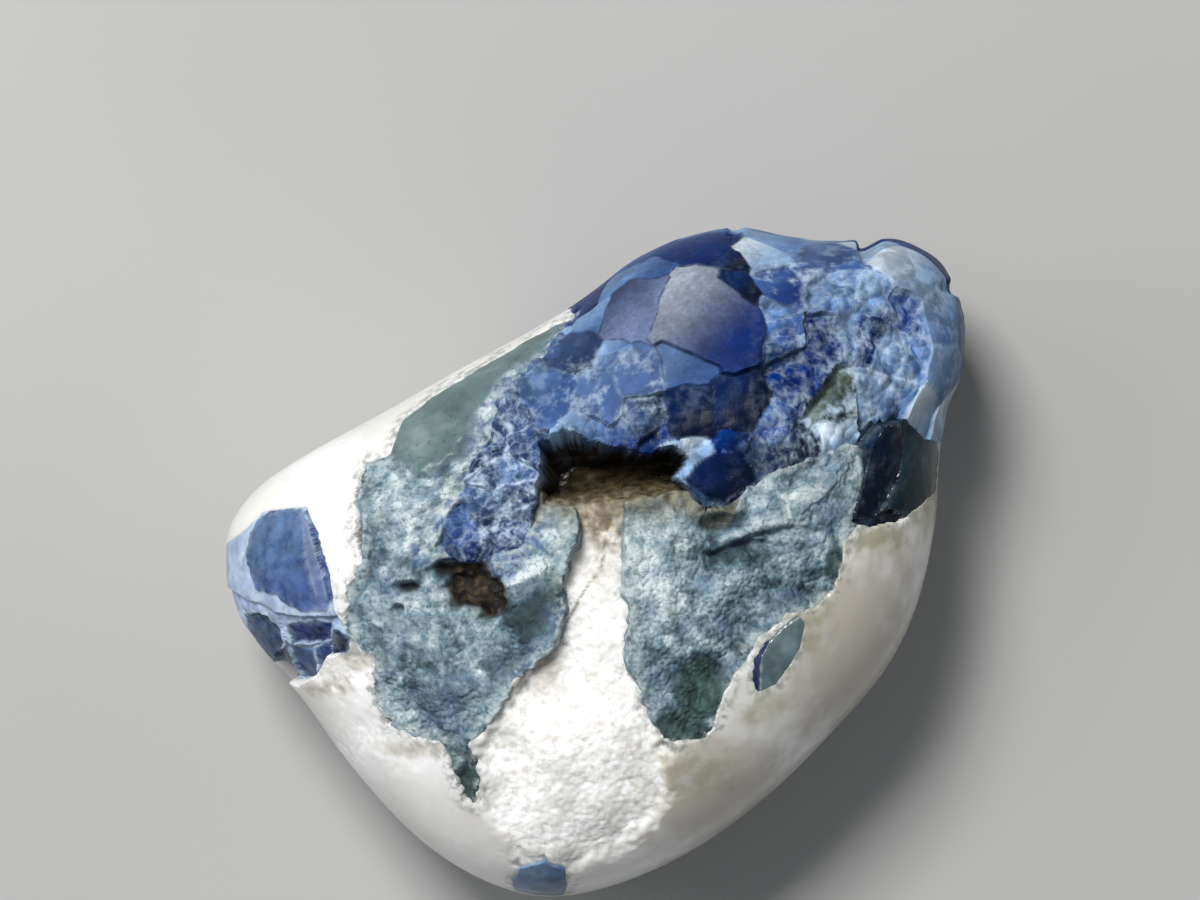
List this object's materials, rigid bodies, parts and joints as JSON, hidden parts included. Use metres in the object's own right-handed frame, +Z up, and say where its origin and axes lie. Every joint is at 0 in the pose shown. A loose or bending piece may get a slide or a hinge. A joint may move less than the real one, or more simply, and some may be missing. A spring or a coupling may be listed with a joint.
{
  "type": "polished benitoite specimen",
  "caption": "Tumbled pebble of white natrolite with intergrown blue crystals, grey-green schist patches and a rough channel under a cavity, resting on a ground flat.",
  "frame": {"origin": "middle of the footprint, on the plane the stone rests on", "axes": "+Z up out of the face that shows the crystals, +X to the right and +Y to the top of that face"},
  "size_m": [0.0279, 0.0252, 0.0132],
  "materials": {
    "natrolite": "polished white, rough in the channel",
    "benitoite": "polished glassy blue",
    "dark_benitoite": "glassy near-black blue",
    "schist": "dull frosted grey-green"
  },
  "bodies": {
    "root": {"natrolite_matrix": "natrolite", "benitoite_cluster": "benitoite", "benitoite_left": "benitoite", "dark_crystal": "dark_benitoite", "benitoite_lower": "benitoite", "benitoite_foot": "benitoite", "schist_left": "schist", "schist_right": "schist"}
  },
  "joints": []
}
